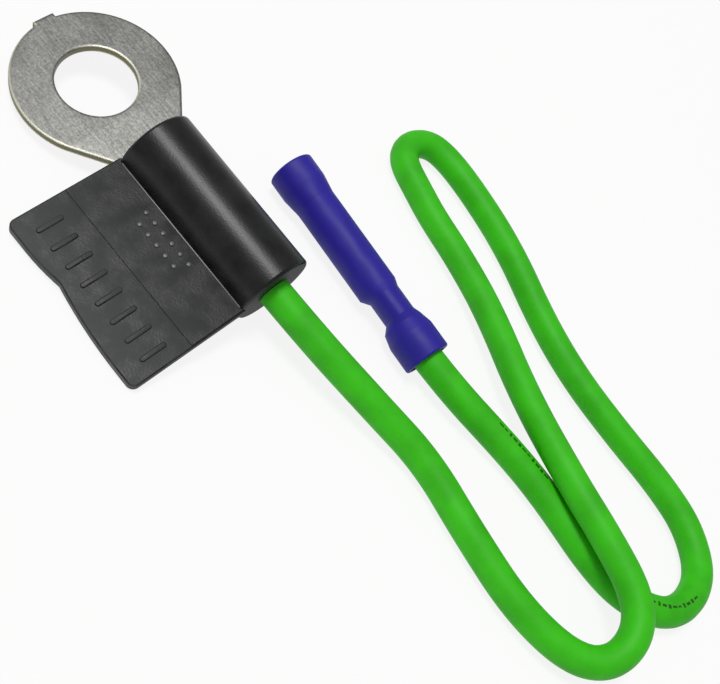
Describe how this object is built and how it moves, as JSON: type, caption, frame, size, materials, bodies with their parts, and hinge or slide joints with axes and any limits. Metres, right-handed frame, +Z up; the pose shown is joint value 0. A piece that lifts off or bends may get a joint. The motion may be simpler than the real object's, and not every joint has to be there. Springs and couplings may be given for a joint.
{
  "type": "fusible link",
  "caption": "Fusible link lead: ring terminal in a black moulded flag insulator, green insulated wire in three loops, and a blue crimped butt splice with a free mouth.",
  "frame": {"origin": "on the surface that the lead lies on, under the middle of the ring terminal and the moulding", "axes": "+X along the moulding's barrel from the ring to the wire, +Z up, with the flag towards -Y"},
  "size_m": [0.0909, 0.055, 0.0087],
  "materials": {
    "ring_metal": "satin",
    "moulding_black": "satin",
    "jacket_green": "satin",
    "copper": "bare",
    "splice_metal": "tinned",
    "sleeve_blue": "satin"
  },
  "bodies": {
    "root": {"ring_terminal": "ring_metal", "moulding": "moulding_black", "wire_jacket": "jacket_green", "wire_conductor": "copper", "splice_barrel": "splice_metal", "splice_sleeve": "sleeve_blue"}
  },
  "joints": []
}
